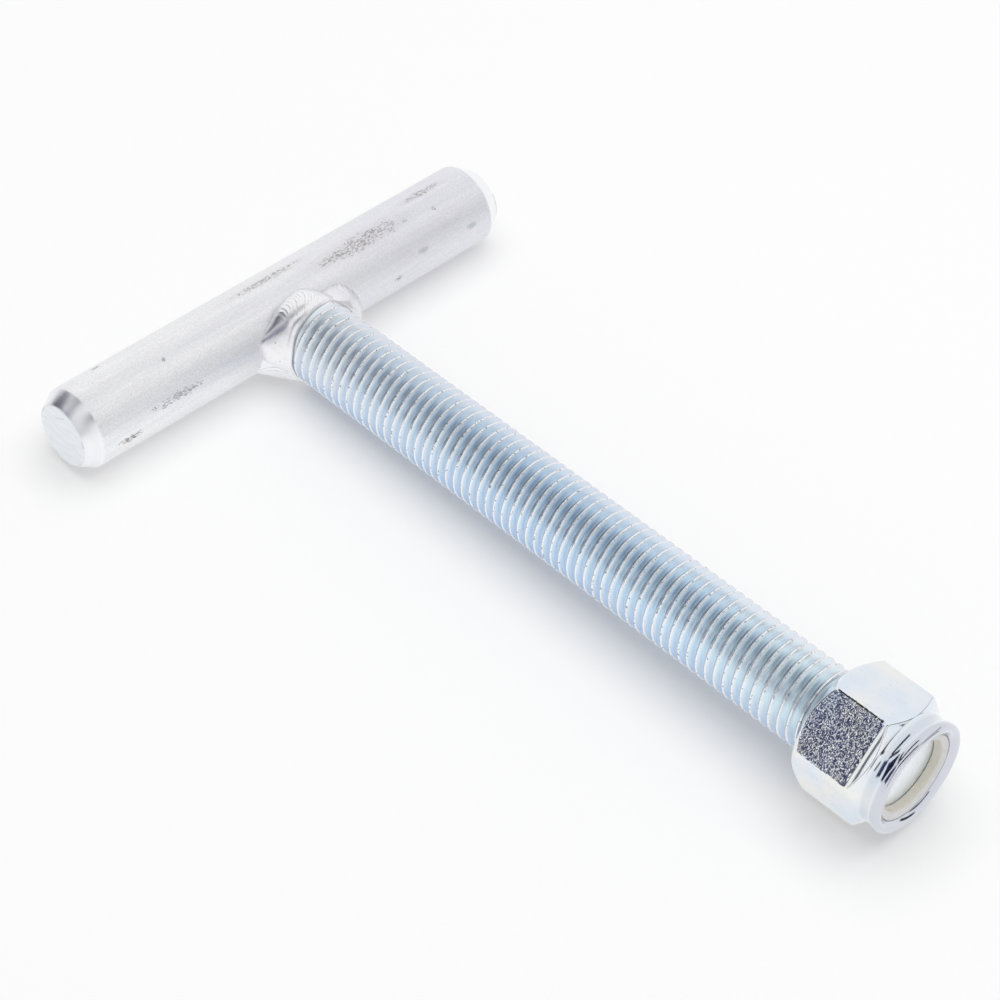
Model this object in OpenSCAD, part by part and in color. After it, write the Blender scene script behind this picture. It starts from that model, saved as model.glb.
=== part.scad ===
// Anchor bolt: a threaded rod butt welded to a round cross bar, with a nylon lock nut on its free end.
// The bar goes through a slot and is turned across it, and the nut clamps from the other side.
// Origin: where the rod's axis crosses the bar's axis. +X along the rod to the nut, +Y along the bar, +Z up.
// Millimetres.

/* [Cross bar] */
// Diameter of the round bar
bar_d = 16; // [12:0.5:20]
// Length of the bar, end face to end face
bar_length = 102; // [60:1:160]
// How far the turned bevel runs along the bar at each end
bar_bevel_length = 3.1; // [0.5:0.1:6]
// How much the bevel takes off the bar's radius
bar_bevel_depth = 1.9; // [0.5:0.1:4]

/* [Threaded rod] */
// From the back of the bar to the rod's cut end
overall_length = 160; // [110:1:220]
// Outside diameter of the thread
thread_d = 15.7; // [12:0.1:18]
// Travel of the nut in one turn, right-hand
thread_pitch = 2; // [1.5:0.25:3]
// Bevel at the rod's cut end
rod_bevel = 0.7; // [0.2:0.1:1.5]
// Facets that the whole thread may use
thread_facets = 10400; // [6000:100:10800]

/* [Weld] */
// Gap left between the rod's square end and the bar
root_gap = 0.1; // [0.05:0.05:1]
// How far the near bead spreads along the bar from the rod's side
near_spread = 3.2; // [2:0.1:6]
// How far the far bead spreads along the bar from the rod's side
far_spread = 4.4; // [2:0.1:6]
// How far both beads reach along the rod from the bar's side
weld_reach = 4; // [2:0.1:6]
// How far below the rod's top the beads meet the bar
weld_drop = 1; // [0.2:0.1:2]
// How far the beads swell past a straight fillet
weld_swell = 1.1; // [0.2:0.1:2]
// How deep the beads fuse in under the rod's end
weld_depth = 3.5; // [1:0.1:5]

/* [Lock nut] */
// Across the flats of the hexagon
nut_flats = 22; // [21.6:0.1:28]
// Across the rounded corners of the hexagon
nut_corners = 25.3; // [24:0.1:32]
// Height of the hexagon
hex_height = 14; // [10:0.5:16]
// Height of the nut with its collar
nut_height = 17.9; // [17:0.1:24]
// Bevel at both ends of the hexagon's corners
nut_bevel = 1.8; // [1:0.1:2.5]
// Thickness of the collar's wall round the ring
collar_wall = 1.3; // [0.8:0.1:1.6]
// Rounding of the collar's outer edge
collar_round = 0.6; // [0.2:0.1:0.9]
// Thickness of the collar's edge, where it is rolled in over the ring
lip_wall = 0.8; // [0.6:0.1:1.2]
// How far the rolled edge slopes down to the ring
lip_drop = 0.8; // [0.3:0.1:1.2]
// Room between the rod and the rolled edge
lip_room = 0.55; // [0.3:0.05:0.9]
// How far the rod's end lies inside the collar's edge
rod_recess = 2.9; // [2.2:0.1:5]
// Angle of one corner of the hexagon, from +Y towards +Z
nut_angle = 48; // [0:1:59]
// Room round the thread in the nut
nut_clearance = 0.15; // [0.1:0.05:0.3]
// Countersink where the thread enters the nut
nut_countersink = 0.6; // [0.2:0.1:1]

/* [Nylon insert] */
// Thickness of the ring outside the thread
insert_wall = 1.45; // [1.1:0.05:2]
// Height of the ring under the collar's edge
insert_height = 4.2; // [3:0.1:5]
// Bore of the ring, where the rod hasn't cut into it
insert_bore = 13.6; // [11:0.1:14]
// How far the ring's face is dished
insert_dish = 0.5; // [0.2:0.1:1]
// Room between the ring and the nut
insert_clearance = 0.08; // [0.05:0.01:0.15]

/* [Hidden] */
$fn = 96;

bar_r = bar_d / 2;
thread_r = thread_d / 2;
rod_start = bar_r + root_gap;
rod_end = overall_length - bar_r;
weld_end = bar_r + weld_reach;
nut_seat = rod_end + rod_recess - nut_height;
collar_r = thread_r + insert_wall + collar_wall;
rim_r = thread_r + lip_room;
rim_top = nut_height - lip_drop;
insert_top = rim_top - lip_wall;
insert_floor = insert_top - insert_height;

// Where the thread's profile turns, as parts of one pitch: a crest flat, a flank, a root flat, a flank.
crest = 1 / 8;
flank = 5 / 16;
turns = [0, crest, crest + flank, 1 - flank];
thread_depth = flank * thread_pitch / tan(30);
thread_turns = (rod_end - rod_start) / thread_pitch;
facets_per_turn_and_side = 2 * len(turns);
thread_sides = max(12, floor(thread_facets / (facets_per_turn_and_side * thread_turns)));
// Points closer than this to an end are left out there
end_margin = 0.08 * thread_pitch;

// Rings of a bead's half turn round the rod, and points across its swell
bead_rings = 24;
swell_points = 6;
// How far a bead's edges are let into the metal that they join
bead_let_in = 0.15;
// Smoothness of the round faces that the beads are fused to
fine = 360;

// Puts a shape that is modelled along +Z on the rod's axis, starting at x.
module along_rod(x) {
    translate([x, 0, 0]) rotate([0, 90, 0]) children();
}

// Thread surface

// How much of the full depth the thread has at x: the weld has filled the first turn.
function depth_share(x) = max(0, min(1, (x - weld_end) / thread_pitch + 0.5));

// Depth below the crest at part u of a pitch, from 0 to 1.
function profile(u) =
    u < turns[1] ? 0 :
    u < turns[2] ? (u - turns[1]) / flank :
    u < turns[3] ? 1 :
    (1 - u) / flank;

// Part of a pitch at x on side j.
function phase(x, j) =
    let (p = (x - rod_start) / thread_pitch - j / thread_sides)
    p - floor(p);

// Radius of a point of depth d (0 at the crest, 1 at the root) at x.
function thread_radius(x, d) =
    min(thread_r - d * thread_depth * depth_share(x), thread_r - rod_bevel + rod_end - x);

function ring_point(x, j, d) =
    let (r = thread_radius(x, d), a = 360 * j / thread_sides)
    [x, r * cos(a), r * sin(a)];

// Line n of the helix (four lines to a turn) where it passes side j.
function line_x(n, j) =
    rod_start + thread_pitch * (floor(n / 4) - 1 + turns[n % 4] + j / thread_sides);
function line_depth(n) = n % 4 < 2 ? 0 : 1;

// The first and last lines that side j holds between the rod's ends.
line_count = 4 * (ceil(thread_turns) + 2);
function lines_on(j) =
    [for (n = [0 : line_count])
        if (line_x(n, j) > rod_start + end_margin && line_x(n, j) < rod_end - end_margin) n];
side_lines = [for (j = [0 : thread_sides - 1]) lines_on(j)];
function first_line(j) = j < thread_sides ? side_lines[j][0] : side_lines[0][0] - 4;
function last_line(j) =
    j < thread_sides ? side_lines[j][len(side_lines[j]) - 1] : last_line(0) - 4;

// Each side's points run from the rod's start, over its lines, to the rod's end.
function side_points(j) = concat(
    [ring_point(rod_start, j, profile(phase(rod_start, j)))],
    [for (n = side_lines[j]) ring_point(line_x(n, j), j, line_depth(n))],
    [ring_point(rod_end, j, profile(phase(rod_end, j)))]
);
function side_count(j) = j < thread_sides ? len(side_lines[j]) + 2 : 0;
side_start = [for (j = 0, s = 0; j <= thread_sides; s = s + side_count(j), j = j + 1) s];

// Numbers of the points: line n on side j, and a side's two ends. Side thread_sides is side 0 again.
function line_id(n, j) =
    j < thread_sides ? side_start[j] + 1 + n - first_line(j) : line_id(n + 4, 0);
function start_id(j) = side_start[j % thread_sides];
function end_id(j) = side_start[j % thread_sides + 1] - 1;

// The strip of surface between side j and the next one.
function strip(j) =
    let (
        k = j + 1,
        low = first_line(j),
        high = last_line(k),
        start_run = concat([start_id(k)], [for (n = [first_line(k) : low]) line_id(n, k)]),
        end_run = concat([for (n = [high : last_line(j)]) line_id(n, j)], [end_id(j)])
    )
    concat(
        [[line_id(low, j), start_id(k), start_id(j)]],
        [for (i = [0 : len(start_run) - 2]) [line_id(low, j), start_run[i + 1], start_run[i]]],
        [for (n = [low : high - 1]) [line_id(n, j), line_id(n + 1, k), line_id(n, k)]],
        [for (n = [low : high - 1]) [line_id(n, j), line_id(n + 1, j), line_id(n + 1, k)]],
        [for (i = [0 : len(end_run) - 2]) [line_id(high, k), end_run[i], end_run[i + 1]]],
        [[line_id(high, k), end_id(j), end_id(k)]]
    );

// Weld bead

// Distance from the bar's axis to its surface, at r from the rod's axis and angle a round the rod.
function bar_face(r, a) = sqrt(bar_r * bar_r - pow(min(r * abs(sin(a)), bar_r), 2));

// Point k of the swell between the bead's edge on the rod and its edge on the bar.
function swell(rod_edge, bar_edge, k) =
    let (
        s = k / swell_points,
        across = bar_edge - rod_edge,
        outward = [-across[1], across[0]] / norm(across),
        middle = (rod_edge + bar_edge) / 2 - 2 * weld_swell * outward
    )
    pow(1 - s, 2) * rod_edge + 2 * s * (1 - s) * middle + s * s * bar_edge;

// Outline of the bead at angle a round the rod, as [x, distance from the rod's axis].
function bead_outline(a, spread) =
    let (
        edge_r = thread_r - weld_drop + (spread + weld_drop) * pow(abs(cos(a)), 3),
        rod_edge = [weld_end, thread_r - bead_let_in],
        bar_edge = [bar_face(edge_r, a) - bead_let_in, edge_r],
        inner_r = thread_r - weld_depth
    )
    concat(
        [[bar_r / 2, inner_r], [weld_end, inner_r]],
        [for (k = [0 : swell_points]) swell(rod_edge, bar_edge, k)]
    );

// A bead that goes half way round the rod from from_angle, fused to both.
module weld_bead(from_angle, spread) {
    outlines = [for (i = [0 : bead_rings])
        let (a = from_angle + 180 * i / bead_rings)
        [for (p = bead_outline(a, spread)) [p[0], p[1] * cos(a), p[1] * sin(a)]]];
    n = len(outlines[0]);
    points = [for (outline = outlines) for (p = outline) p];
    sides = [for (i = [0 : bead_rings - 1]) for (k = [0 : n - 1])
        let (
            here = i * n + k,
            next = i * n + (k + 1) % n
        )
        each [[here, next + n, next], [here, here + n, next + n]]];
    first = [[for (k = [0 : n - 1]) k]];
    last = [[for (k = [n - 1 : -1 : 0]) bead_rings * n + k]];
    difference() {
        polyhedron(points, concat(first, sides, last));
        rotate([90, 0, 0]) cylinder(r = bar_r, h = bar_length, center = true, $fn = fine);
        along_rod(rod_start) cylinder(r = thread_r, h = rod_end - rod_start, $fn = fine);
    }
}

// Lock nut

// Half section of a round blank with its outer top edge rolled over, from floor to top.
module rolled_section(r, floor, top, round) {
    translate([0, floor]) square([r - round, top - floor]);
    translate([0, floor]) square([r, top - floor - round]);
    translate([r - round, top - round]) circle(round);
}

// Cone that dishes a face from r_in at its own level to r_out at a height h above, and goes on to twice that.
module dish(r_in, r_out, h) {
    cylinder(r1 = r_in, r2 = 2 * r_out - r_in, h = 2 * h);
}

// Half section that the hexagon is turned down to, with both ends bevelled.
module turned_section() {
    polygon([
        [0, 0],
        [nut_corners / 2 - nut_bevel, 0],
        [nut_corners / 2, nut_bevel],
        [nut_corners / 2, hex_height - nut_bevel],
        [nut_corners / 2 - nut_bevel, hex_height],
        [0, hex_height]
    ]);
}

module cross_bar() {
    half = bar_length / 2;
    face_r = bar_r - bar_bevel_depth;
    color("lavender") rotate([90, 0, 0]) rotate_extrude() polygon([
        [0, -half],
        [face_r, -half],
        [bar_r, -half + bar_bevel_length],
        [bar_r, half - bar_bevel_length],
        [face_r, half],
        [0, half]
    ]);
}

module threaded_rod() {
    points = [for (j = [0 : thread_sides - 1]) each side_points(j)];
    strips = [for (j = [0 : thread_sides - 1]) each strip(j)];
    start_face = [for (j = [0 : thread_sides - 1]) start_id(j)];
    end_face = [for (j = [thread_sides - 1 : -1 : 0]) end_id(j)];
    color("lightsteelblue") polyhedron(points, concat([start_face], strips, [end_face]));
}

module near_weld() {
    color("gainsboro") weld_bead(90, near_spread);
}

module far_weld() {
    color("gainsboro") weld_bead(-90, far_spread);
}

module lock_nut() {
    bore_r = thread_r + nut_clearance;
    color("silver") along_rod(nut_seat) difference() {
        union() {
            intersection() {
                rotate([0, 0, nut_angle + 90]) cylinder(d = nut_flats / cos(30), h = hex_height, $fn = 6);
                rotate_extrude() turned_section();
            }
            rotate_extrude() rolled_section(collar_r, hex_height / 2, nut_height, collar_round);
        }
        translate([0, 0, -1]) cylinder(r = bore_r, h = nut_height + 2);
        translate([0, 0, -nut_countersink])
            cylinder(r1 = bore_r + 2 * nut_countersink, r2 = bore_r, h = 2 * nut_countersink);
        translate([0, 0, insert_floor]) cylinder(r = collar_r - collar_wall, h = insert_height);
        translate([0, 0, insert_floor]) cylinder(r = rim_r, h = nut_height);
        translate([0, 0, rim_top]) dish(rim_r, collar_r - collar_round, lip_drop);
    }
}

module nylon_insert() {
    gap = insert_clearance;
    grip = nut_height - rod_recess + gap;
    color("ivory") along_rod(nut_seat) difference() {
        union() {
            translate([0, 0, insert_floor + gap])
                cylinder(r = collar_r - collar_wall - gap, h = insert_height - 2 * gap);
            translate([0, 0, insert_floor + gap])
                cylinder(r = rim_r - gap, h = rim_top - insert_floor - gap);
        }
        cylinder(d = insert_bore, h = nut_height);
        cylinder(r = thread_r + gap, h = grip);
        translate([0, 0, rim_top - insert_dish]) dish(insert_bore / 2, rim_r - gap, insert_dish);
    }
}

cross_bar();
threaded_rod();
near_weld();
far_weld();
lock_nut();
nylon_insert();
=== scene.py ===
# %% [markdown]
# # An anchor bolt, dressed for the camera
# A length of threaded rod is welded to the middle of a round bar, and a lock nut sits on its free end.
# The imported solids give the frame: where each piece is, and which body it moves with.
# Every cell below makes one piece or one finish, in metres, in that same frame.

# %% The frame
import math

import bmesh
import bpy
from mathutils import Matrix, Vector, noise


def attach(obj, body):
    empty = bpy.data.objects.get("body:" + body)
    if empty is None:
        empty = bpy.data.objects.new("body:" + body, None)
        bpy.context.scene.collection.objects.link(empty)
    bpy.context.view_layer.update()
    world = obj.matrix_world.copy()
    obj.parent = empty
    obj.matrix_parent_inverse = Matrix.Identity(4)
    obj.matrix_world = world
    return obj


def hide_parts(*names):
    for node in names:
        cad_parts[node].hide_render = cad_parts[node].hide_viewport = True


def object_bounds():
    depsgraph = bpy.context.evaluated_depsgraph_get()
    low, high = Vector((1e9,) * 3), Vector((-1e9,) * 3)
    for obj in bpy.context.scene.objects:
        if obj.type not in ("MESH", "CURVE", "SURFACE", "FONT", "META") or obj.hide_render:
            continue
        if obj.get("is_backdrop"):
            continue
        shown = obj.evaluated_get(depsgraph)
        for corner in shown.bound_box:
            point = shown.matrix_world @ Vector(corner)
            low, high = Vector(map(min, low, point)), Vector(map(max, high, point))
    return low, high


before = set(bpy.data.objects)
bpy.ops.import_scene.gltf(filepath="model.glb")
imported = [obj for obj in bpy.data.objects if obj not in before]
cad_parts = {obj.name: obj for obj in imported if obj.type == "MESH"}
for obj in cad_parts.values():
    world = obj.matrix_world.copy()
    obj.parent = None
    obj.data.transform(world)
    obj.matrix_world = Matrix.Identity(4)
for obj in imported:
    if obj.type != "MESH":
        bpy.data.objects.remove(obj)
cad_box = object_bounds()
MM = 0.001

# %% [markdown]
# The camera stands in front of the nut, to the right of the rod, and looks down at 45 degrees.
# Its place was solved from the bar's ends, the thread's edges and the nut's corners, so the bolt lands
# on the same pixels as in the photograph. A long lens keeps the two ends nearly the same scale.

# %% The camera
CAMERA_PLACE = Vector((304.67, -261.47, 344.93)) * MM
CAMERA_RIGHT = Vector((0.70116, 0.71187, 0.04025))
CAMERA_DOWN = Vector((0.51923, -0.47110, -0.71307))
CAMERA_AHEAD = Vector((-0.48865, 0.52087, -0.69993))
FOCAL_PER_WIDTH = 2.81549
SENSOR_WIDTH = 36.0

camera_data = bpy.data.cameras.new("camera")
camera_data.sensor_width = SENSOR_WIDTH
camera_data.lens = SENSOR_WIDTH * FOCAL_PER_WIDTH
camera_data.clip_start, camera_data.clip_end = 0.01, 20.0
camera = bpy.data.objects.new("camera", camera_data)
camera_axes = Matrix((CAMERA_RIGHT, -CAMERA_DOWN, -CAMERA_AHEAD)).transposed()
camera.matrix_world = Matrix.Translation(CAMERA_PLACE) @ camera_axes.to_4x4()
bpy.context.scene.collection.objects.link(camera)
bpy.context.scene.camera = camera
print("camera", [round(v, 4) for v in camera.location], "lens", round(camera_data.lens, 2))

# %% [markdown]
# Three helpers do the common work. One turns a half section round an axis, as a lathe does, with
# bmesh's spin. One closes a piece: it merges doubles, turns the faces outward, smooths the shading
# and hands the piece to the body that it moves with. One finds the edges of a ring, to round them.

# %% Lathe and finishing bench
X_AXIS, Y_AXIS = Vector((1, 0, 0)), Vector((0, 1, 0))
DOUBLES = 0.002


def turned(bm, section, axis, steps):
    """Spins a half section, given as points in millimetres, once round an axis through the origin."""
    points = [bm.verts.new(Vector(p) * MM) for p in section]
    lines = [bm.edges.new(pair) for pair in zip(points, points[1:])]
    bmesh.ops.spin(bm, geom=points + lines, cent=(0, 0, 0), axis=axis,
                   angle=math.tau, steps=steps, use_merge=True)
    bmesh.ops.remove_doubles(bm, verts=bm.verts, dist=DOUBLES * MM)


def made_piece(bm, name, body, node, merge=DOUBLES):
    """Closes a mesh and rides it on its body in place of a CAD node."""
    bmesh.ops.remove_doubles(bm, verts=bm.verts, dist=merge * MM)
    bmesh.ops.recalc_face_normals(bm, faces=bm.faces)
    open_edges = sum(1 for e in bm.edges if not e.is_manifold)
    mesh = bpy.data.meshes.new(name)
    bm.to_mesh(mesh)
    bm.free()
    mesh.shade_smooth()
    piece = bpy.data.objects.new(name, mesh)
    bpy.context.scene.collection.objects.link(piece)
    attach(piece, body)
    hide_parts(node)
    mesh.calc_loop_triangles()
    print(name, "triangles", len(mesh.loop_triangles), "open edges", open_edges)
    return piece


def ring_edges(bm, at, radius, axis, slack=0.02):
    """Edges of the ring at one place along an axis and at one radius, in millimetres."""
    found = []
    for e in bm.edges:
        corners = [v.co / MM for v in e.verts]
        places = [(c[axis], math.sqrt(sum(c[i] ** 2 for i in range(3) if i != axis))) for c in corners]
        if all(abs(p[0] - at) < slack and abs(p[1] - radius) < slack for p in places):
            found.append(e)
    return found


# %% [markdown]
# The cross bar is cold drawn round steel, sawn to length, with a turned bevel at each end.
# Its half section is spun round Y, and the four rims get a small rounded edge with bevel, because no
# turned edge is perfectly sharp. The saw leaves a short burr on the far end, so part of that rim stands out.

# %% Cross bar
BAR_R, BAR_HALF = 8.0, 51.0
BEVEL_LONG, BEVEL_DEEP = 3.1, 1.9
BAR_STEPS, BAR_LENGTHS = 144, 48
RIM_ROUND = 0.22
BURR_HIGH, BURR_DEEP, BURR_INNER_R = 0.28, 0.4, 5.4
BURR_FROM, BURR_TO, BURR_FADE = -60, 38, 3

bar = bmesh.new()
face_r = BAR_R - BEVEL_DEEP
body_y = BAR_HALF - BEVEL_LONG
section = [(0, -BAR_HALF, 0)]
section += [(0, -BAR_HALF, face_r * part) for part in (0.3, 0.6, 0.85, 1.0)]
section += [(0, -body_y + 2 * body_y * k / BAR_LENGTHS, BAR_R) for k in range(BAR_LENGTHS + 1)]
section += [(0, BAR_HALF, face_r * part) for part in (1.0, 0.85, 0.6, 0.3)]
section += [(0, BAR_HALF, 0)]
turned(bar, section, Y_AXIS, BAR_STEPS)
rims = []
for side in (-1, 1):
    rims += ring_edges(bar, side * BAR_HALF, face_r, 1)
    rims += ring_edges(bar, side * body_y, BAR_R, 1)
bmesh.ops.bevel(bar, geom=rims, offset=RIM_ROUND * MM, segments=3, profile=0.5, affect="EDGES", material=-1)
for v in bar.verts:
    place = v.co / MM
    if place.y > BAR_HALF - BURR_DEEP and math.hypot(place.x, place.z) > BURR_INNER_R:
        heading = math.degrees(math.atan2(place.z, place.x))
        if BURR_FROM < heading < BURR_TO:
            v.co.y += BURR_HIGH * MM * min(1.0, (BURR_TO - heading) / BURR_FADE)
cross_bar = made_piece(bar, "cross_bar_steel", "weldment", "cross_bar")

# %% [markdown]
# The rod's thread is rolled: flat-topped ridges with a wide rounded root between them, two millimetres apart.
# One pitch of that outline is spun with a step forward at each step, which makes the helix in one call.
# The turns then meet edge to edge and are merged. A plane cuts each end square, as a saw does.

# %% Threaded rod
PITCH, CREST_R, ROOT_R = 2.0, 7.85, 6.767
ROD_START, ROD_END, END_BEVEL = 8.1, 152.0, 0.7
STEPS_A_TURN = 60
ROOT_ROUND, CREST_HALF = 0.433, 0.125
FILLED_TO, CLEAR_FROM = 11.2, 13.2
WEAR_DEEP, WEAR_WAVES = 0.03, 1.7
SPARE = 3

root_arc = [(ROOT_ROUND * math.sin(a), ROOT_R + ROOT_ROUND - ROOT_ROUND * math.cos(a))
            for a in map(math.radians, (0, 20, 40, 60))]
crest_arc = [(1 - CREST_HALF - 0.018, CREST_R - 0.031), (1 - CREST_HALF + 0.006, CREST_R - 0.009),
             (1 - CREST_HALF + 0.036, CREST_R), (1.0, CREST_R + 0.004)]
half_pitch = root_arc + crest_arc
one_pitch = half_pitch + [(PITCH - x, r) for x, r in reversed(half_pitch[:-1])]

rod = bmesh.new()
helix_start = ROD_START + PITCH * (1 / 16 - 2.5)
turns = math.ceil((ROD_END - helix_start) / PITCH) + 1
points = [rod.verts.new(Vector((helix_start + x, r, 0)) * MM) for x, r in one_pitch]
lines = [rod.edges.new(pair) for pair in zip(points, points[1:])]
bmesh.ops.spin(rod, geom=points + lines, cent=(0, 0, 0), axis=X_AXIS, angle=math.tau,
               dvec=X_AXIS * (PITCH / STEPS_A_TURN * MM), steps=STEPS_A_TURN)
turns_made = 1
while turns_made < turns:
    copied = bmesh.ops.duplicate(rod, geom=rod.verts[:] + rod.edges[:] + rod.faces[:])["geom"]
    bmesh.ops.translate(rod, verts=[g for g in copied if isinstance(g, bmesh.types.BMVert)],
                        vec=X_AXIS * (PITCH * turns_made * MM))
    turns_made *= 2
beyond = [v for v in rod.verts if not ROD_START - SPARE < v.co.x / MM < ROD_END + SPARE]
bmesh.ops.delete(rod, geom=beyond, context="VERTS")
bmesh.ops.remove_doubles(rod, verts=rod.verts, dist=0.003 * MM)
for at, outward in ((ROD_START, -1), (ROD_END, 1)):
    bmesh.ops.bisect_plane(rod, geom=rod.verts[:] + rod.edges[:] + rod.faces[:], dist=1e-7,
                           plane_co=X_AXIS * (at * MM), plane_no=X_AXIS * outward, clear_outer=True)
for v in rod.verts:
    place = v.co / MM
    r = math.hypot(place.y, place.z)
    depth = (CREST_R - ROOT_R) * min(1.0, max(0.0, (place.x - FILLED_TO) / (CLEAR_FROM - FILLED_TO)))
    wear = WEAR_DEEP * noise.noise(place * WEAR_WAVES) if r > CREST_R - 0.1 else 0.0
    limit = CREST_R - END_BEVEL + ROD_END - place.x
    v.co.yz = Vector((place.y, place.z)) * (min(max(r + wear, CREST_R - depth), limit) / r * MM)


def capped(bm, at, inset_steps):
    """Closes a cut end with rings that step in to a pole on the axis."""
    rim = [e for e in bm.edges if e.is_boundary and all(abs(v.co.x - at * MM) < 1e-6 for v in e.verts)]
    for share in inset_steps:
        grown = bmesh.ops.extrude_edge_only(bm, edges=rim)["geom"]
        rim = [g for g in grown if isinstance(g, bmesh.types.BMEdge)]
        for v in {v for e in rim for v in e.verts}:
            v.co.yz = v.co.yz * share
    bmesh.ops.pointmerge(bm, verts=list({v for e in rim for v in e.verts}), merge_co=X_AXIS * (at * MM))


capped(rod, ROD_START, (0.6, 0.3))
capped(rod, ROD_END, (0.97, 0.8, 0.7, 0.5, 0.3))
threaded_rod = made_piece(rod, "threaded_rod_zinc", "weldment", "threaded_rod", merge=0.0005)

# %% [markdown]
# A weld bead is a puddle that froze as the arc moved on, so it is rounded across and rippled along.
# Each bead is a flat grid rolled into a tube: one way it runs round the rod, the other way it goes from the toe on
# the bar, over the swell, to the toe on the rod, and back inside the metal. A few stations give its toes and swell.
# No toe reaches past 12.8 mm along the rod, because the nut's face stops at 12.9 mm when it is screwed right up.

# %% Weld beads
OUTSIDE = 0.8
SUNK_IN_BAR, SUNK_IN_ROD = 0.12, 0.08
EDGE_SEAM = 0.03
ROUNDED_OVER = 5


def between(stations, at):
    """Reads a row of stations at an angle, in straight lines from one to the next."""
    for low, high in zip(stations, stations[1:]):
        if low[0] <= at <= high[0]:
            share = (at - low[0]) / (high[0] - low[0])
            return [a + (b - a) * share for a, b in zip(low[1:], high[1:])]
    nearest = stations[0] if at < stations[0][0] else stations[-1]
    return list(nearest[1:])


def smoothed(stations, at, reach):
    """Averages a row of stations over a few degrees, which rounds its corners."""
    rows = [between(stations, at + reach * k / 4) for k in range(-4, 5)]
    return [sum(column) / len(column) for column in zip(*rows)]


def rounded_off(distance, reach):
    """Runs a quarter ellipse from 0 at a bead's end to 1 inside it."""
    inside = min(1.0, max(0.0, distance / reach))
    return math.sqrt(1 - (1 - inside) ** 2)


def bead(stations, rings, across, end_rounds, ripple, name, node):
    """Rolls a grid into one weld bead. Stations: angle, toe on the bar (y, z), toe on the rod (x), swell."""
    bm = bmesh.new()
    bmesh.ops.create_grid(bm, x_segments=rings, y_segments=across, size=0.5)
    seam = bm.verts.layers.float.new("seam")
    first, last = stations[0][0], stations[-1][0]
    for v in bm.verts:
        along, over = v.co.x + 0.5, v.co.y + 0.5
        angle = first + (last - first) * along
        y, z, reach, swell = smoothed(stations, angle, ROUNDED_OVER)
        swell *= rounded_off(angle - first, end_rounds[0]) * rounded_off(last - angle, end_rounds[1])
        heading = math.radians(angle)
        spoke = Vector((0, math.cos(heading), math.sin(heading)))
        bar_toe = Vector((math.sqrt(max(BAR_R ** 2 - z * z, 1.0)) - SUNK_IN_BAR, y, z))
        rod_toe = spoke * (CREST_R - SUNK_IN_ROD) + X_AXIS * reach
        chord = rod_toe - bar_toe
        lift = (spoke + X_AXIS * 0.9).normalized()
        lift = (lift - chord.normalized() * lift.dot(chord.normalized())).normalized()
        if over <= OUTSIDE:
            s = (1 - math.cos(math.pi * over / OUTSIDE)) / 2
            bulge = max(0.0, 1 - abs(2 * s - 1) ** 2.3) ** 0.45
            height, v[seam] = ripple(angle, s)
            v[seam] = max(v[seam], 0.7 - s / EDGE_SEAM, 0.7 - (1 - s) / EDGE_SEAM)
            place = bar_toe + chord * s + lift * (bulge * (swell + height))
        else:
            s = (over - OUTSIDE) / (1 - OUTSIDE)
            core = spoke * 4.5 + X_AXIS * 6.0
            inner = [rod_toe, spoke * 6.0 + X_AXIS * (reach - 0.6), core,
                     Vector((bar_toe.x * 0.8, bar_toe.y * 0.92, bar_toe.z * 0.8)), bar_toe]
            k = min(int(s * 4), 3)
            place = inner[k].lerp(inner[k + 1], s * 4 - k)
        v.co = place * MM
    bmesh.ops.remove_doubles(bm, verts=bm.verts, dist=DOUBLES * MM)
    ends = [e for e in bm.edges if e.is_boundary]
    bmesh.ops.holes_fill(bm, edges=ends, sides=0)
    return made_piece(bm, name, "weldment", node)


def ripples(first, last, spacing, height, bend):
    """Crescents that trail behind the arc between two angles: each point's height and its share of a seam."""
    def at(angle, s):
        fade = min(1.0, max(0.0, (angle - first) / 12)) * min(1.0, max(0.0, (last - angle) / 14))
        lag = angle + bend * (2 * s - 0.8) ** 2
        wave = (lag / spacing + 0.5 * noise.noise(Vector((lag * 0.13, s * 2.0, 3.0)))) % 1.0
        return fade * height * (wave ** 2 - 0.4), fade * max(0.0, wave - 0.72) / 0.28
    return at


NEAR_TOP = [(40, 5.0, 4.2, 9.4, 0.8), (52, 4.0, 5.0, 10.0, 0.9), (65, 2.9, 6.1, 10.6, 1.1),
            (85, 0.9, 6.8, 11.2, 1.5), (105, -1.9, 6.5, 11.5, 2.0), (122, -4.5, 5.9, 11.8, 2.2),
            (138, -6.9, 5.2, 12.0, 1.7), (152, -9.1, 4.4, 12.3, 1.1), (164, -10.6, 3.6, 12.55, 0.75),
            (174, -11.1, 2.3, 12.65, 0.7), (184, -10.9, 0.3, 12.7, 0.8), (196, -10.2, -1.7, 12.7, 0.9)]
NEAR_UNDER = [(168, -10.2, 1.2, 12.4, 0.1), (184, -11.5, -1.6, 12.7, 0.2), (194, -11.8, -3.5, 12.75, 0.2),
              (210, -11.0, -4.9, 12.75, 0.35), (230, -8.6, -6.2, 12.7, 0.6), (250, -5.2, -6.9, 12.65, 0.7),
              (276, 0.9, -7.1, 12.6, 0.6)]
FAR = [(-96, -0.9, -7.1, 12.6, 0.6), (-60, 7.5, -6.8, 12.7, 0.6), (-40, 11.0, -5.6, 12.7, 0.7),
       (-20, 13.6, -3.2, 12.7, 0.8), (-8, 13.2, -1.8, 12.65, 1.0), (4, 12.1, 0.8, 12.5, 1.4),
       (15, 11.1, 3.3, 12.2, 1.7), (28, 8.8, 5.3, 11.8, 1.7), (40, 6.3, 5.3, 11.2, 1.4),
       (58, 3.9, 5.0, 10.0, 1.1)]
near_bead = bead(NEAR_TOP, 220, 48, (14, 13), ripples(50, 134, 4.4, 0.07, -16),
                 "near_weld_bead", "near_weld")
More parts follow.
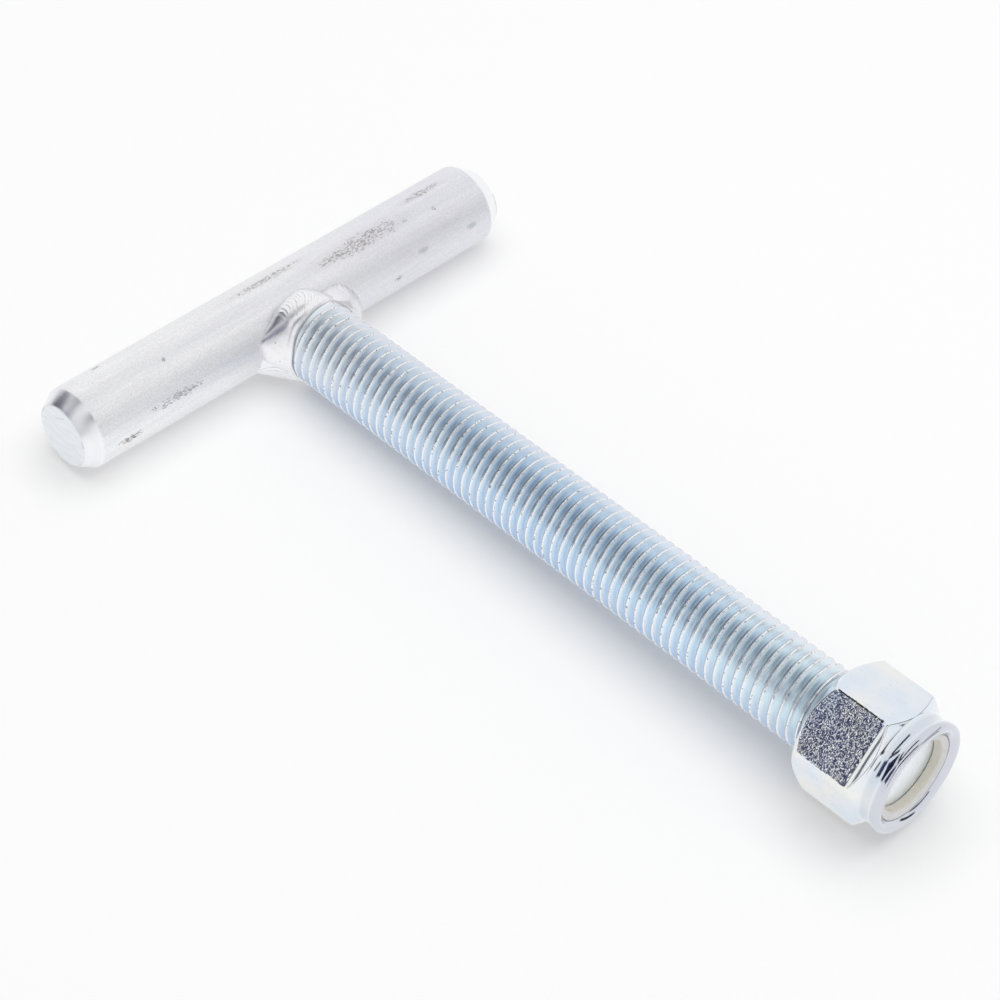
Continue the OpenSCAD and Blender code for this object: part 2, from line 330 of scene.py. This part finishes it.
under_bead = bead(NEAR_UNDER, 110, 32, (12, 6), ripples(176, 270, 6.0, 0.05, -12),
                  "near_weld_underside", "near_weld")
far_bead = bead(FAR, 200, 44, (6, 18), ripples(-80, 46, 5.5, 0.06, 14),
                "far_weld_bead", "far_weld")

# %% [markdown]
# The nut and its ring are drawn as half sections first. Three helpers give the points of an arc, of a straight
# line and of a smooth curve, close enough together for an even mesh, and each one ends where the next begins.

# %% Drawing a half section
def arc(centre, radius, start, stop, steps):
    """Points on an arc of the half section, as (x, r), from one heading to another in degrees."""
    headings = [math.radians(start + (stop - start) * k / steps) for k in range(steps + 1)]
    return [(centre[0] + radius * math.cos(h), centre[1] + radius * math.sin(h)) for h in headings]


def line(start, stop, longest):
    """Points along a straight part of the half section, no further apart than that. The last one is left out."""
    count = max(1, math.ceil(math.dist(start, stop) / longest))
    return [tuple(a + (b - a) * k / count for a, b in zip(start, stop)) for k in range(count)]


def sweep(points, steps):
    """A smooth curve through points of the half section. The last one is left out."""
    full = []
    for k in range(1, len(points) - 2):
        before, start, stop, after = (Vector(points[k + i]) for i in (-1, 0, 1, 2))
        for t in (i / steps for i in range(steps)):
            pull = (stop - before) * 0.5 * t + (2 * before - 5 * start + 4 * stop - after) * 0.5 * t * t
            pull += (3 * start - before - 3 * stop + after) * 0.5 * t ** 3
            full.append(tuple(start + pull))
    return full


# %% [markdown]
# The nut starts as a hexagon bar: its six flats are cut back by a cone at each end, which leaves the arched edges,
# and a thin collar is rolled over a nylon ring. Turning the whole outline first and then pressing every point back
# to the nearest flat gives the cones, arches and rounded corners together, in one dense and even mesh.

# %% Lock nut
SEAT_X = 137.0
FLAT_R, CORNER_R, FIRST_CORNER = 11.0, 12.75, 48.0
CORNER_SOFT, ARCH_SOFT = 0.5, 0.34
FLATS_FROM, FLATS_TO, CONE_FROM = 138.85, 147.65, 149.15
COLLAR_R, LIP_X, LIP_ROUND = 10.6, 154.9, 0.85
RIM_R, RIM_X = 8.4, 154.1
BORE_R, POCKET_R, POCKET_X = 8.0, 9.3, 149.1
ROLL_FROM, ROLL_R, ROLL_FADE = 148.2, 6.5, 0.5
PRESSED_R, PRESSED_TO = 10.55, 150.6
NUT_STEPS = 360


def softly_least(a, b, soft):
    """The smaller of two values, with the step between them rounded."""
    near = max(0.0, soft - abs(a - b)) / soft
    return min(a, b) - near * near * soft / 4


def into_hexagon(place):
    """Presses a point back to the nut's nearest flat, rounded at corners and arches, and tells how flat it is."""
    r = math.hypot(place.y, place.z)
    heading = math.degrees(math.atan2(place.z, place.y)) - FIRST_CORNER
    off_middle = abs((heading % 60) - 30)
    nearest, neighbour = (FLAT_R / math.cos(math.radians(a)) for a in (off_middle, 60 - off_middle))
    flat = softly_least(nearest, neighbour, CORNER_SOFT)
    flatness = min(1.0, max(0.0, (r - flat) / 0.2)) * max(0.0, 1 - (nearest - flat) / 0.1)
    rolled = max(0.0, place.x - ROLL_FROM)
    flatness *= max(0.0, 1 - rolled / ROLL_FADE)
    flat -= ROLL_R - math.sqrt(ROLL_R ** 2 - rolled ** 2)
    return softly_least(r, flat, ARCH_SOFT), flatness


bearing_edge, top_edge = (SEAT_X + 0.1, 10.8), (150.55, 10.62)
outline = line((SEAT_X + 0.6, BORE_R), (SEAT_X, BORE_R + 0.6), 0.3)
outline += line((SEAT_X, BORE_R + 0.6), (SEAT_X, 10.6), 0.6)
outline += arc((SEAT_X + 0.35, 10.55), 0.35, 180, 135, 3)
outline += line(bearing_edge, (FLATS_FROM, CORNER_R), 0.16)
outline += line((FLATS_FROM, CORNER_R), (FLATS_TO, CORNER_R), 0.4)
outline += line((FLATS_TO, CORNER_R), (CONE_FROM, CORNER_R), 0.15)
outline += line((CONE_FROM, CORNER_R), top_edge, 0.16)
outline += sweep([(150.2, 10.95), top_edge, (150.95, 10.46), (151.5, 10.33), (152.2, 10.27), (152.9, 10.36),
                  (153.5, 10.54), (154.1, COLLAR_R), (154.5, 10.6)], 4)
outline += arc((LIP_X - LIP_ROUND, COLLAR_R - LIP_ROUND), LIP_ROUND, 86, -25, 14)
outline += sweep([(154.9, 9.7), (154.78, 9.3), (154.45, 8.82), (RIM_X, RIM_R + 0.06), (153.98, RIM_R),
                  (153.6, RIM_R)], 3)
outline += [(153.98, RIM_R), (153.35, RIM_R), (153.3, POCKET_R), (POCKET_X, POCKET_R), (POCKET_X, BORE_R)]
nut = bmesh.new()
turned(nut, [(x, r, 0) for x, r in outline], X_AXIS, NUT_STEPS)
bmesh.ops.bridge_loops(nut, edges=[e for e in nut.edges if e.is_boundary])
flat_share = nut.verts.layers.float.new("flat_share")
for v in nut.verts:
    place = v.co / MM
    r = math.hypot(place.y, place.z)
    if r > PRESSED_R and place.x < PRESSED_TO:
        pressed, v[flat_share] = into_hexagon(place)
        v.co.yz = Vector((place.y, place.z)) * (pressed / r * MM)
lock_nut = made_piece(nut, "lock_nut_zinc", "nut", "lock_nut")

# %% [markdown]
# The nylon ring grips the thread. It is moulded, so its edges are soft, and the collar is rolled down on to it.
# Its outline is spun like the nut's: a flat lip that faces out, a rounded edge, and the wall that the rod fills.

# %% Nylon ring
GRIP_R, RING_STEPS = 6.8, 180
ring = bmesh.new()
outline = [(149.2, 8.0), (149.2, 9.2), (153.22, 9.2), (153.24, 8.34)]
outline += sweep([(153.5, 8.34), (153.9, 8.34), (154.0, 8.24), (153.95, 7.95), (153.84, 7.55), (153.7, 7.2),
                  (153.5, 6.98), (153.2, 6.88)], 4)
outline += sweep([(153.7, 7.2), (153.5, 6.98), (153.2, 6.86), (152.7, GRIP_R), (152.15, GRIP_R),
                  (152.0, GRIP_R)], 4)
outline += [(152.12, GRIP_R), (152.1, 7.98), (149.2, 8.0)]
turned(ring, [(x, r, 0) for x, r in outline], X_AXIS, RING_STEPS)
nylon = made_piece(ring, "nylon_ring", "insert", "nylon_insert")

# %% [markdown]
# A finish is a tree of shader nodes. To write its sums as plain expressions, a small class wraps a socket and
# adds a Math node for each operator. One bench per material adds every other node, with its settings first.

# %% Shader bench
class Lead:
    """A value on its way through a material."""

    def __init__(self, bench, socket):
        self.bench, self.socket = bench, socket

    def math(self, operation, *values):
        return self.bench.node("ShaderNodeMath", {"operation": operation}, dict(enumerate(values)))

    def __add__(self, other):
        return self.math("ADD", self, other)

    def __sub__(self, other):
        return self.math("SUBTRACT", self, other)

    def __rsub__(self, other):
        return self.math("SUBTRACT", other, self)

    def __mul__(self, other):
        return self.math("MULTIPLY", self, other)

    def __truediv__(self, other):
        return self.math("DIVIDE", self, other)

    def __pow__(self, other):
        return self.math("POWER", self, other)

    def __abs__(self):
        return self.math("ABSOLUTE", self)

    __radd__, __rmul__ = __add__, __mul__

    def at_least(self, other):
        return self.math("MAXIMUM", self, other)

    def heading(self, other):
        """The angle, in degrees, of a point that is this far along one axis and that far along the next."""
        return self.math("ARCTAN2", other, self) * math.degrees(1)


class Finish:
    """One procedural material, read in millimetres of the object's own coordinates."""

    def __init__(self, owner):
        owner.use_nodes = True
        self.owner, self.tree = owner, owner.node_tree
        self.tree.nodes.clear()

    def node(self, kind, settings=None, sockets=None, out=0):
        """Adds a node: its settings first, then the values or leads of its sockets."""
        made = self.tree.nodes.new(kind)
        for key, value in (settings or {}).items():
            setattr(made, key, value)
        for key, value in (sockets or {}).items():
            if isinstance(value, Lead):
                self.tree.links.new(value.socket, made.inputs[key])
            else:
                made.inputs[key].default_value = value
        return Lead(self, made.outputs[out])

    def places(self):
        """The point being shaded, in millimetres: as a vector, and as x, y and z."""
        metres = self.node("ShaderNodeTexCoord", out="Object")
        self.place = self.node("ShaderNodeVectorMath", {"operation": "SCALE"}, {0: metres, "Scale": 1 / MM})
        return [self.node("ShaderNodeSeparateXYZ", {}, {0: self.place}, out=axis) for axis in range(3)]

    def step(self, value, low, high):
        """0 below one value, 1 above another, smooth between."""
        return self.node("ShaderNodeMapRange", {"interpolation_type": "SMOOTHSTEP"},
                         {"Value": value, "From Min": low, "From Max": high})

    def band(self, value, low, high, soft):
        """1 between two values, 0 outside, with soft ends."""
        return self.step(value, low - soft, low + soft) * (1 - self.step(value, high - soft, high + soft))

    def grain(self, scale, stretch=(1, 1, 1), detail=2.0, shift=0.0):
        """Noise with so many waves to a millimetre, stretched along the axes."""
        vector = self.node("ShaderNodeMapping", {},
                           {"Vector": self.place, "Scale": stretch, "Location": (shift,) * 3})
        return self.node("ShaderNodeTexNoise", {}, {"Vector": vector, "Scale": scale, "Detail": detail})

    def pits(self, scale, size):
        """1 in scattered round pits, 0 elsewhere."""
        cells = self.node("ShaderNodeTexVoronoi", {}, {"Vector": self.place, "Scale": scale})
        return 1 - self.step(cells, size * 0.5, size)

    def tint(self, share, plain, other):
        """Mixes two colours, given as display values of 0 to 255 or as leads."""
        return self.node("ShaderNodeMix", {"data_type": "RGBA"},
                         {0: share, 6: self.ink(plain), 7: self.ink(other)}, out=2)

    def along(self, value, stops):
        """Runs through colours, each given with the value where it is reached."""
        colour = stops[0][1]
        for (low, _), (high, following) in zip(stops, stops[1:]):
            colour = self.tint(self.step(value, low, high), colour, following)
        return colour

    @staticmethod
    def ink(colour):
        """Turns a display colour into the linear one that a socket takes."""
        if isinstance(colour, Lead):
            return colour
        shares = [c / 255 for c in colour]
        return (*[c / 12.92 if c <= 0.04045 else ((c + 0.055) / 1.055) ** 2.4 for c in shares], 1.0)

    def bump(self, height, depth):
        """A Bump node: height 0 to 1 stands for a depth in millimetres."""
        return self.node("ShaderNodeBump", {}, {"Height": height, "Distance": depth * MM})

    def coat(self, sockets, *pieces):
        """Feeds the shader and puts the finish on its pieces."""
        shader = self.node("ShaderNodeBsdfPrincipled", {}, sockets)
        self.end("ShaderNodeOutputMaterial", shader)
        for piece in pieces:
            piece.data.materials.clear()
            piece.data.materials.append(self.owner)

    def end(self, kind, shader):
        """Ends the tree with its output."""
        output = self.tree.nodes.new(kind)
        self.tree.links.new(shader.socket, output.inputs["Surface"])
        print(self.owner.name, "nodes", len(self.tree.nodes))


# %% [markdown]
# The bar has a thin dull zinc coat over drawn steel, so it is pale and satin with faint streaks along its length.
# Its colour is painted paler toward the end at negative y, as painted light, and darker in a band along its top, as a
# painted reflection.
# The bevels were turned after it was drawn and shine in fine rings. Handling and flux left brown smears and grey
# dents, each one an ellipse in length and angle round the bar with a ragged edge, and smaller ones all round.

# %% Bar finish
satin = Finish(bpy.data.materials.new("satin_zinc_bar"))
x, y, z = satin.places()
angle = x.heading(z)
fine = satin.grain(3.3, detail=3.0)
ragged = satin.grain(0.7, detail=4.0)
streaks = satin.grain(1.4, stretch=(1, 0.05, 1), detail=3.0)
dashes = satin.grain(4.0, stretch=(1, 0.4, 1), detail=3.0, shift=11.0)
cloudy = satin.grain(0.09, detail=2.0, shift=7.0)


def mark(at_y, at_angle, half_length, half_angle):
    """A mark on the bar's side: 1 in its middle, fading to 0 along its length and round the bar."""
    reach = ((y - at_y) / half_length) ** 2 + ((angle - at_angle) / half_angle) ** 2 + (ragged - 0.5) * 1.2
    return 1 - satin.step(reach, 0.0, 1.3)


def marks(*places):
    """Several marks together."""
    whole = mark(*places[0])
    for place in places[1:]:
        whole = whole.at_least(mark(*place))
    return whole


def flecked(whole, dense):
    """Breaks marks up into flecks that thin out toward their edges."""
    return satin.step(dashes - (1 - whole) * 0.5, dense, dense + 0.14)


smudges = marks((-2, 99, 13, 9), (11.5, 75, 5, 11), (19, 75, 13, 20), (37, 96, 7, 9),
                (-20, -120, 10, 12), (28, -150, 13, 9), (-34, 160, 9, 8), (6, 172, 8, 12))
smears = flecked(smudges, 0.44)
rust = flecked(marks((-42, -5, 4.6, 8), (14, -118, 4, 8)), 0.4)
dents = marks((42.6, 15, 1.5, 5), (30.1, 20, 1.5, 5), (-12, 150, 1.8, 6), (18, -95, 1.8, 6))
nicks = flecked(marks((23.3, -1, 1.5, 6), (29.4, 70, 1.0, 6), (36.5, 64, 1.0, 6), (-29.8, 70, 0.9, 6),
                      (-30.5, 17, 8.0, 9), (-40, 120, 1.5, 7)), 0.4)
specks = satin.step(satin.grain(1.1, detail=5.0, shift=3.0), 0.66, 0.76) * satin.step(cloudy, 0.45, 0.62)
END_Y = 50.84
on_bevel = satin.band(abs(y), 47.85, END_Y, 0.05)
on_end = satin.step(abs(y), END_Y, END_Y + 0.1)
rings = satin.grain(2.0, stretch=(0.02, 2.0, 0.02), detail=2.0)
sawn = satin.grain(1.6, stretch=(0.25, 1, 3.2), detail=4.0)

# Painted light: the side is painted palest at the end at negative y and a little darker toward the other end.
side = satin.along(y, [(-46, (254, 254, 255)), (-6, (250, 250, 252)), (32, (241, 241, 246))])
side = satin.tint((1 - satin.step(fine, 0.3, 0.7)) * 0.22, side, (178, 178, 188))
side = satin.tint(satin.step(streaks, 0.4, 0.7) * 0.14, side, (206, 206, 216))
# Painted reflection: a darker band along the top of the bar, 62 to 80 degrees round it, stands for a dark thing
# mirrored there.
side = satin.tint(satin.band(angle, 62, 80, 9) * 0.15, side, (196, 197, 207))
side = satin.tint(specks * 0.4, side, (176, 170, 170))
side = satin.tint(smudges * 0.14, side, (180, 174, 174))
side = satin.tint(smears * 0.52, side, (134, 124, 118))
side = satin.tint(dents * 0.5, side, (176, 181, 191))
side = satin.tint(nicks * 0.6, side, (122, 123, 130))
side = satin.tint(rust * 0.75, side, (112, 100, 84))
scratch = satin.band(z - x * 0.5, 4.05, 4.15, 0.12) * satin.band(x, -1.6, 2.2, 0.3)
scratch = scratch * satin.step(ragged, 0.42, 0.55)
chips = satin.step((x * x + z * z) ** 0.5 + (ragged - 0.5) * 1.6, 6.0, 6.3)
sawn_face = satin.tint(satin.step(sawn, 0.35, 0.7), (229, 232, 237), (239, 242, 246))
sawn_face = satin.tint(scratch.at_least(chips * 0.6) * 0.6, sawn_face, (140, 138, 140))
colour = satin.tint(on_bevel, side, satin.tint(rings, (236, 237, 241), (251, 251, 253)))
colour = satin.tint(on_end, colour, sawn_face)
plain = 1 - on_bevel.at_least(on_end)
height = plain * (fine * 1.2 + streaks * 0.5 - dents * 0.5 - nicks * 0.5)
height = height + on_bevel * rings * 0.7 + on_end * sawn
satin.coat({"Base Color": colour, "Metallic": 1.0 - plain * 0.15,
            "Roughness": 0.5 + plain * smears * 0.1 - on_bevel * 0.17 - on_end * 0.06,
            "Normal": satin.bump(height, 0.022)}, cross_bar)

# %% [markdown]
# The thread has bright blue zinc plating. Rolling and handling rub its flat crests to nearly white, and a painted
# highlight whitens them too, while the grooves keep the colour: grey near the weld, blue in the middle, greener near
# the nut.
# The grooves also carry painted light: painted shade in every root, a painted dark reflection in the roots along the
# top of the rod, a painted highlight on the flanks just below, painted shade that deepens the blue underneath, and a
# greyer painted sheen on the far side, on the crests too. The sawn end is bare and scored.

# %% Thread finish
blue = Finish(bpy.data.materials.new("blue_zinc_thread"))
x, y, z = blue.places()
r = (y * y + z * z) ** 0.5
patchy = blue.grain(0.16, detail=3.0)
flecks = blue.grain(2.4, detail=3.0)
groove = blue.along(x + (patchy - 0.5) * 34.0,
                    [(14, (227, 234, 241)), (34, (218, 232, 245)), (70, (209, 229, 247)),
                     (105, (221, 239, 253)), (132, (236, 249, 255))])
# Painted shade: the underside of the rod is painted a deeper, darker blue.
groove = blue.tint((1 - blue.step(z, -5.0, 3.0)) * 0.75, groove, (160, 187, 222))
# Painted sheen: the far side of the rod, at positive y, is painted greyer.
groove = blue.tint(blue.step(y, 0.5, 6.5) * 0.7, groove, (218, 219, 229))
groove = blue.tint(blue.step(flecks, 0.5, 0.72) * 0.3, groove, (222, 229, 235))
round_rod = y.heading(z)
# Painted reflection: the roots from 95 to 124 degrees round the rod, along its top, are painted darker.
shaded = blue.band(round_rod, 95, 124, 12) * (1 - blue.step(r, 6.95, 7.6))
groove = blue.tint(shaded * 0.42, groove, (98, 122, 152))
# Painted highlight: the flanks from 129 to 152 degrees round the rod are painted paler.
painted_flank_highlight = blue.band(round_rod, 129, 152, 9) * blue.step(r, 6.9, 7.3)
groove = blue.tint(painted_flank_highlight * 0.5, groove, (238, 249, 255))
# Painted shade: the deepest part of every root is painted darker.
groove = blue.tint((1 - blue.step(r, 6.77, 6.95)) * 0.3, groove, (112, 130, 150))
worn = blue.grain(1.9, detail=4.0, shift=6.0)
# The crests are painted near white: rubbed plating, and a painted highlight as well.
on_crest = blue.step(r + (worn - 0.5) * 0.14, CREST_R - 0.18, CREST_R - 0.08)
rubbed = blue.tint(blue.step(worn, 0.57, 0.68), (240, 241, 243), (156, 161, 167))
# Painted sheen: the crests on the far side are painted greyer as well.
rubbed = blue.tint(blue.step(y, 0.5, 6.5) * 0.7, rubbed, (219, 219, 227))
colour = blue.tint(on_crest, groove, rubbed)
on_end = blue.step(x, ROD_END - 0.03, ROD_END - 0.01)
scored = blue.grain(1.3, stretch=(1, 3.0, 0.3), detail=4.0)
end_face = blue.tint(blue.step(scored, 0.3, 0.75), (240, 245, 252), (251, 254, 255))
colour = blue.tint(on_end, colour, end_face)
blue.coat({"Base Color": colour, "Metallic": 1.0, "Roughness": 0.32 - on_crest * 0.06 + on_end * 0.1,
           "Normal": blue.bump((1 - on_end) * flecks * 0.5 + on_end * scored, 0.02)}, threaded_rod)

# %% [markdown]
# The beads were plated with the rest, so they mirror the room. Slag and gas left a few pits and dull freckles,
# and the beads are painted a little greyer on their far side, at positive y, as painted shade.

# %% Weld finish
frozen = Finish(bpy.data.materials.new("bright_zinc_weld"))
_, y, _ = frozen.places()
freckles = frozen.grain(1.5, detail=4.0)
waves = frozen.grain(0.7, detail=2.0, shift=5.0)
holes = frozen.pits(0.45, 0.1)
seams = frozen.node("ShaderNodeAttribute", {"attribute_name": "seam"}, out="Fac")
colour = frozen.tint(frozen.step(freckles, 0.5, 0.74) * 0.3, (244, 244, 247), (214, 214, 220))
# Painted shade: the beads are painted greyer on their far side, at positive y.
colour = frozen.tint(frozen.step(y, 3.0, 8.0) * 0.5, colour, (222, 221, 226))
colour = frozen.tint(frozen.step(seams, 0.1, 0.9) * 0.5, colour, (150, 148, 152))
colour = frozen.tint(holes * 0.5, colour, (96, 92, 92))
dull = frozen.step(freckles, 0.5, 0.75)
frozen.coat({"Base Color": colour, "Metallic": 1.0, "Roughness": 0.3 + dull * 0.08 + seams * 0.08,
             "Normal": frozen.bump(freckles * 0.3 + waves * 0.6 - holes * 0.4, 0.04)},
            near_bead, under_bead, far_bead)

# %% [markdown]
# The nut is cold formed and barrel plated: its flats keep a fine hammered texture that sparkles, with faint blue and
# yellow tints and a few rubbed scratches, while the rolled collar and the turned bevels are nearly mirrors.
# The neck under the collar is painted darker as a painted dark reflection, and the bore inside is painted grey as
# painted shade.

# %% Nut finish
bright = Finish(bpy.data.materials.new("bright_zinc_nut"))
x, y, z = bright.places()
r = (y * y + z * z) ** 0.5
hammered = bright.grain(2.3, detail=1.5)
soft_hammered = bright.grain(0.8, detail=1.0, shift=9.0)
tinted = bright.grain(0.11, detail=2.0, shift=4.0)
scratches = bright.grain(1.1, stretch=(0.35, 3.0, 3.0), detail=4.0, shift=2.0)
on_flat = bright.node("ShaderNodeAttribute", {"attribute_name": "flat_share"}, out="Fac")
colour = bright.along(tinted, [(0.36, (221, 230, 240)), (0.5, (230, 234, 239)), (0.64, (236, 237, 234))])
# Painted reflection: the neck between the hex and the collar is painted darker.
neck = bright.band(x, 151.2, 152.9, 0.4) * bright.step(r, 9.4, 9.6)
colour = bright.tint(neck * 0.2, colour, (150, 155, 166))
colour = bright.tint(bright.step(x, 152.9, 153.6) * 0.9, colour, (206, 208, 218))
colour = bright.tint(bright.step(scratches, 0.64, 0.72) * on_flat * 0.5, colour, (176, 180, 186))
# Painted shade: the bore inside the nut is painted grey.
inside = (1 - bright.step(r, 8.2, 8.3)) * (1 - bright.step(x, 153.0, 153.2))
colour = bright.tint(inside, colour, (150, 152, 156))
bright.coat({"Base Color": colour, "Metallic": 1.0, "Roughness": 0.1 - on_flat * 0.01,
             "Normal": bright.bump(on_flat * (hammered + soft_hammered * 0.8 - 0.9), 0.11)}, lock_nut)

# %% [markdown]
# Nylon is a little see-through, so light goes some way into it and its edges look soft. It has the colour of cream.
# Its inner wall, where the rod fills it, is painted darker and yellower as painted shade.

# %% Nylon finish
cream = Finish(bpy.data.materials.new("cream_nylon"))
_, y, z = cream.places()
mottled = cream.grain(0.9, detail=3.0)
# Painted shade: the inner wall that the rod fills is painted darker and yellower.
inner_wall = 1 - cream.step((y * y + z * z) ** 0.5, GRIP_R + 0.1, GRIP_R + 0.5)
colour = cream.tint(cream.step(mottled, 0.35, 0.7), (235, 235, 235), (241, 241, 241))
cream.coat({"Base Color": cream.tint(inner_wall, colour, (232, 228, 216)),
            "Roughness": 0.42, "Subsurface Weight": 0.25, "Subsurface Radius": (0.0012, 0.001, 0.0008),
            "Normal": cream.bump(mottled, 0.02)}, nylon)

# %% [markdown]
# The bolt lies on a plain pale table. The nut is wider than the bar, so the table is tilted by less than two degrees
# to touch both, as the bolt itself would tilt. One big soft lamp overhead and a white room give an even studio light.

# %% Table and room
def sheet(name, size, place):
    """A square sheet that belongs to the studio and not to the bolt."""
    bm = bmesh.new()
    bmesh.ops.create_grid(bm, x_segments=1, y_segments=1, size=size / 2, matrix=place)
    mesh = bpy.data.meshes.new(name)
    bm.to_mesh(mesh)
    bm.free()
    made = bpy.data.objects.new(name, mesh)
    bpy.context.scene.collection.objects.link(made)
    made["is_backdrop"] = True
    return made


def shown(bench):
    """1 where the camera, a mirror or a window looks, and 0 for the light that falls on the bolt."""
    rays = [bench.node("ShaderNodeLightPath", out=name)
            for name in ("Is Camera Ray", "Is Glossy Ray", "Is Transmission Ray")]
    return rays[0].at_least(rays[1]).at_least(rays[2])


NUT_RESTS_X, NUT_RESTS_Z = 138.85, 11.99
TABLE_TILT = math.atan2(NUT_RESTS_Z - BAR_R, NUT_RESTS_X)
table_place = Matrix.Translation((0, 0, -BAR_R * MM / math.cos(TABLE_TILT)))
table = sheet("table", 6.0, table_place @ Matrix.Rotation(TABLE_TILT, 4, "Y"))
paper = Finish(bpy.data.materials.new("white_table"))
mirrored = paper.node("ShaderNodeLightPath", out="Is Glossy Ray")
lift = paper.tint(mirrored, paper.tint(shown(paper), (0, 0, 0), (108, 108, 108)), (220, 220, 220))
paper.coat({"Base Color": paper.tint(mirrored, (241, 241, 241), (158, 158, 158)), "Roughness": 0.9,
            "Specular IOR Level": 0.0, "Emission Strength": 1.0, "Emission Color": lift}, table)

bpy.context.scene.world = bpy.data.worlds.new("white_room")
room = Finish(bpy.context.scene.world)
lit = room.node("ShaderNodeBackground", {}, {"Color": (1, 1, 1, 1), "Strength": 0.55})
white = room.node("ShaderNodeBackground", {}, {"Color": (1, 1, 1, 1), "Strength": 1.0})
room.end("ShaderNodeOutputWorld", room.node("ShaderNodeMixShader", {}, {0: shown(room), 1: lit, 2: white}))

lamp_data = bpy.data.lights.new("top_lamp", "AREA")
lamp_data.size, lamp_data.energy = 1.2, 5.9
top_lamp = bpy.data.objects.new("top_lamp", lamp_data)
top_lamp.location = (0.12, 0.1, 1.0)
top_lamp.visible_glossy = False
bpy.context.scene.collection.objects.link(top_lamp)
print("table tilt", round(math.degrees(TABLE_TILT), 2), "degrees, lamp", lamp_data.energy, "watts")

# %% [markdown]
# In a room that is white all round, bright metal shows no shape. A photographer stands dark cards where the metal
# mirrors them: here one card for each dark streak on the nut, the thread and the weld. Only mirrors see them, so
# they cast no shadow and take no light away. Each row gives a card's direction, its long way, half sizes and shade.

# %% Dark cards
CARD_SOFT = 35
CARDS_ROUND = Vector((0.075, 0, 0))


def dark_card(name, way, across, wide, high, shade):
    """A dark card a metre from the bolt, with soft edges, that only mirrors see."""
    made = sheet(name, 2.0, Matrix())
    facing = Vector(way).normalized()
    side = (Vector(across) - facing * facing.dot(Vector(across))).normalized()
    card_axes = Matrix((side, facing.cross(side), facing)).transposed()
    made.matrix_world = Matrix.Translation(CARDS_ROUND + facing) @ card_axes.to_4x4()
    made.visible_camera = made.visible_shadow = made.visible_diffuse = False
    felt = Finish(bpy.data.materials.new(name))
    x, y, _ = felt.places()
    past_side = felt.step(abs(x), wide - CARD_SOFT, wide + CARD_SOFT)
    past_end = felt.step(abs(y), high - CARD_SOFT, high + CARD_SOFT)
    felt.coat({"Base Color": felt.ink(shade), "Roughness": 0.9, "Specular IOR Level": 0.0,
               "Alpha": (1 - past_side) * (1 - past_end)}, made)


CARDS = [
    ("left_card", (-0.845, -0.468, 0.259), (0.485, -0.875, 0), 300, 425, (44, 48, 78)),
    ("bridge_card", (-0.45, -0.39, 0.80), (0.655, -0.755, 0), 300, 75, (70, 74, 92)),
    ("front_card", (-0.299, -0.822, 0.485), (0.94, -0.342, 0), 188, 305, (74, 80, 118)),
    ("high_card", (-0.30, -0.06, 0.952), (0, 1.0, 0), 450, 100, (50, 52, 62)),
    ("lens_card", (0.549, -0.702, 0.454), (0.788, 0.616, 0), 70, 400, (50, 52, 60)),
    ("gap_card", (0.12, -0.857, 0.5), (0.99, 0.139, 0), 55, 170, (90, 94, 110)),
    ("upper_card", (0.58, -0.21, 0.788), (0.342, 0.94, 0), 520, 160, (46, 48, 58)),
    ("right_card", (0.745, 0.541, 0.391), (-0.588, 0.809, 0), 900, 55, (60, 62, 72)),
    ("low_card", (0.786, 0.614, 0.06), (-0.616, 0.788, 0), 210, 80, (40, 42, 50)),
]
for card in CARDS:
    dark_card(*card)

# %% [markdown]
# Last, the size of the dressed bolt is noted beside the size of the solids.

# %% Last look
bpy.context.scene.view_settings.view_transform = "Standard"
visual_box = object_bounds()
for label, box in (("cad box", cad_box), ("visual box", visual_box)):
    print(label, [[round(c, 4) for c in v] for v in box])
